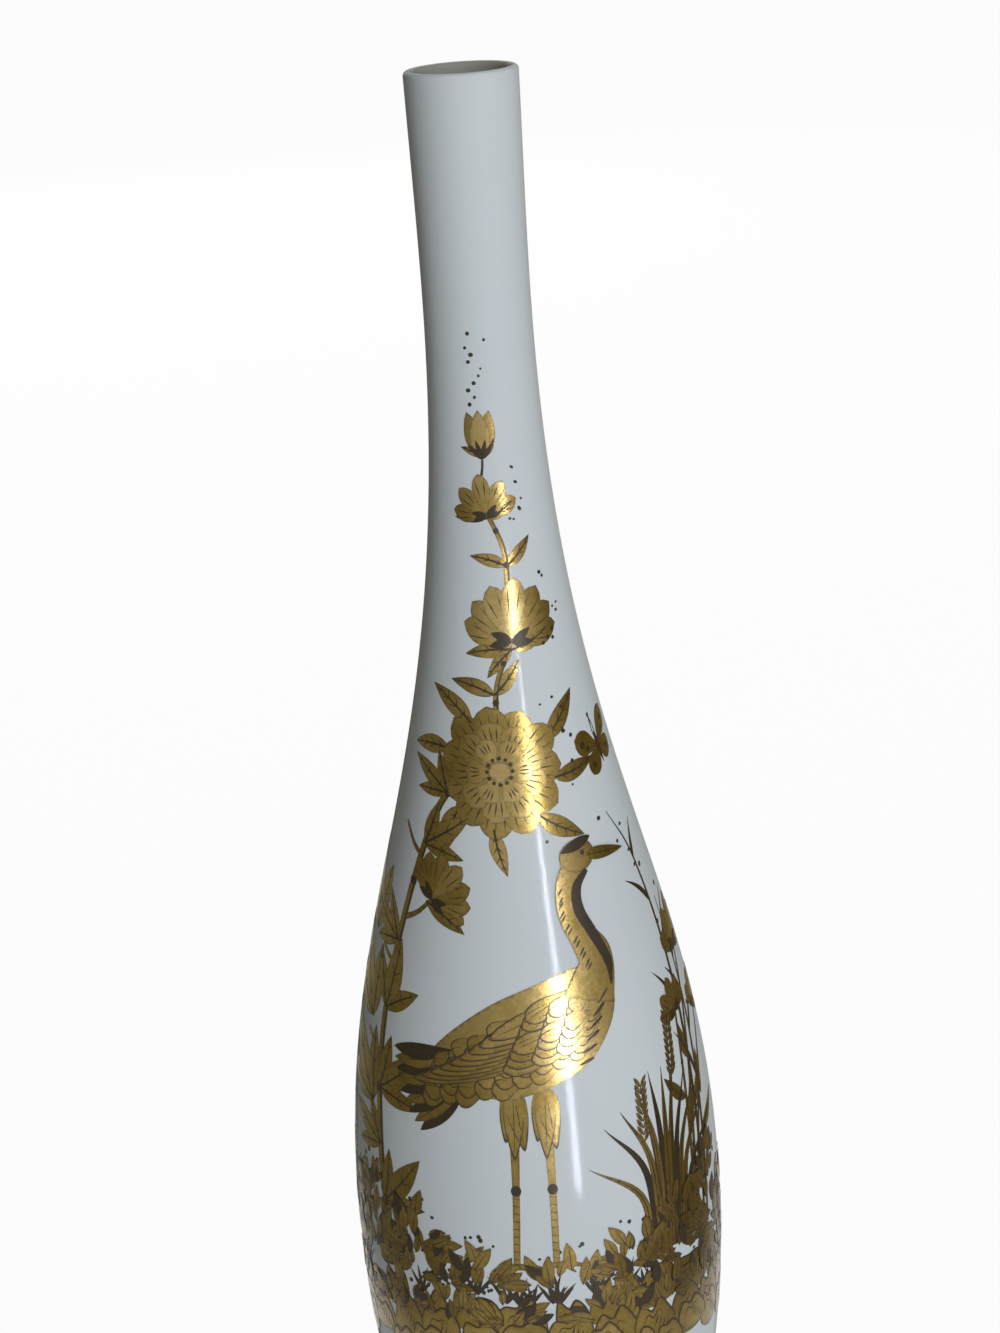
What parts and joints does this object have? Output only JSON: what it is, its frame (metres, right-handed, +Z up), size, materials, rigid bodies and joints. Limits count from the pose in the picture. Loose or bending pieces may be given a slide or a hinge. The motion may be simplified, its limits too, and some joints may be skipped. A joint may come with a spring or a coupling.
{
  "type": "bottle vase",
  "caption": "Tall slender porcelain bottle vase with a long narrow neck, a teardrop belly and gilt bird-and-flower decoration, for a single stem or for display.",
  "frame": {"origin": "centre of the flat underside of the foot ring, on the surface that the vase stands on", "axes": "+Z up along the axis of the turned body, the bird's side of the decoration faces -Y, +X to the right of a viewer in front of it"},
  "size_m": [0.0823, 0.0824, 0.34],
  "materials": {
    "porcelain": "white porcelain under a clear glossy glaze, slightly cool",
    "biscuit": "bare fired porcelain, matt and slightly warm",
    "slip": "fired slip in the joints, under the glaze",
    "gilding": "fired gold film, satin to bright"
  },
  "bodies": {
    "root": {"foot_ring": "biscuit", "lower_body": "porcelain", "belly_lute": "slip", "upper_body": "porcelain", "neck_lute": "slip", "neck": "porcelain", "gilt_bank_front": "gilding", "gilt_bank_back": "gilding", "gilt_crane": "gilding", "gilt_stem": "gilding", "gilt_twig_low": "gilding", "gilt_twig_high": "gilding", "gilt_blossom_large": "gilding", "gilt_blossom_middle": "gilding", "gilt_blossom_small": "gilding", "gilt_bud": "gilding", "gilt_leaf_low": "gilding", "gilt_leaf_middle": "gilding", "gilt_leaf_high": "gilding", "gilt_reeds_right": "gilding", "gilt_reeds_left": "gilding", "gilt_butterfly_front": "gilding", "gilt_butterfly_back": "gilding", "gilt_back_stem": "gilding", "gilt_back_blossom": "gilding", "gilt_back_leaf_left": "gilding", "gilt_back_leaf_right": "gilding"}
  },
  "joints": []
}
